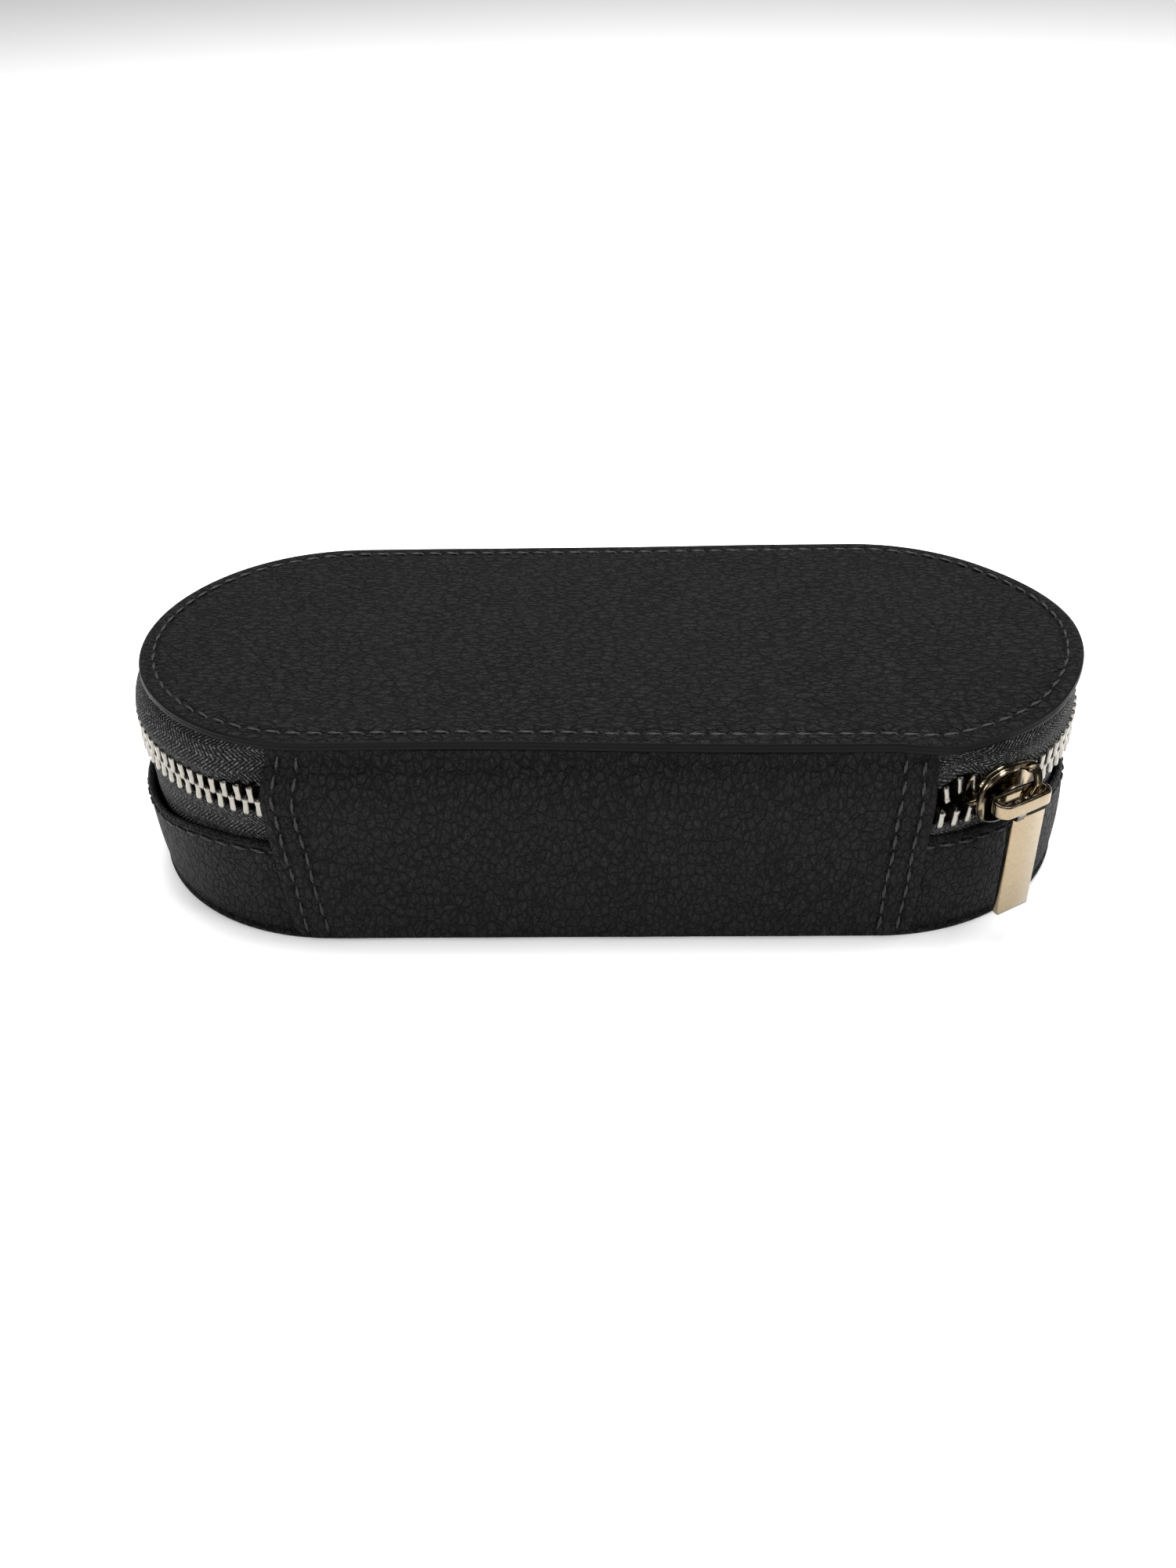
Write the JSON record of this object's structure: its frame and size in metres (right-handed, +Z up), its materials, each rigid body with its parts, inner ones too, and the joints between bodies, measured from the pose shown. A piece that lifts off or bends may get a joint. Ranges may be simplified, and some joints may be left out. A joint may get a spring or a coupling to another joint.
{
  "type": "leather jewellery case",
  "caption": "Zip-around oblong leather jewellery case with a leather spine hinge, a metal zip with slider and bar puller, ring rolls, dividers and a lid mirror.",
  "frame": {"origin": "centre of the underside of the bottom panel", "axes": "+X along the case's length, -Y towards the leather spine, +Z up out of the lid"},
  "size_m": [0.1748, 0.0802, 0.042],
  "materials": {
    "leather_black": "pebbled",
    "leather_edge": "painted edge, satin",
    "board": "grey fibreboard, matt",
    "lining_velvet": "short-pile velvet",
    "zip_tape": "twill weave",
    "zip_teeth": "polished nickel",
    "zip_slider": "polished pale gold",
    "mirror_glass": "polished"
  },
  "bodies": {
    "base": {"bottom_panel": "leather_black", "floor_pad": "lining_velvet", "wall_leather": "leather_black", "wall_stiffener": "board", "wall_lining": "lining_velvet", "spine_base_panel": "leather_black", "hinge_lining_base": "lining_velvet", "lower_tape": "zip_tape", "lower_teeth": "zip_teeth", "end_stops": "zip_teeth", "cross_divider_left": "lining_velvet", "cross_divider_right": "lining_velvet", "long_divider": "lining_velvet", "ring_roll_1": "lining_velvet", "ring_roll_2": "lining_velvet", "ring_roll_3": "lining_velvet", "ring_roll_4": "lining_velvet", "ring_roll_5": "lining_velvet"},
    "lid": {"lid_leather": "leather_black", "lid_stiffener": "board", "lid_lining": "lining_velvet", "mirror": "mirror_glass", "spine_lid_panel": "leather_black", "hinge_lining_lid": "lining_velvet", "upper_tape": "zip_tape", "upper_teeth": "zip_teeth"},
    "slider": {"slider_body": "zip_slider", "slider_bridge": "zip_slider"},
    "puller": {"puller": "zip_slider"}
  },
  "joints": [
    {"name": "lid_hinge", "type": "hinge", "parent": "base", "child": "lid", "pos_m": [0, -0.0389, 0.03], "axis": [1, 0, 0], "range_deg": [0, 165], "deforming": ["upper_teeth"]},
    {"name": "slider_travel", "type": "hinge", "parent": "base", "child": "slider", "pos_m": [0.0492, 0, 0.0288], "axis": [0, 0, 1], "range_deg": [-3, 137]},
    {"name": "puller_swing", "type": "hinge", "parent": "slider", "child": "puller", "pos_m": [0.07183, -0.03621, 0.0285], "axis": [-0.848, -0.5299, 0], "range_deg": [0, 30]}
  ]
}
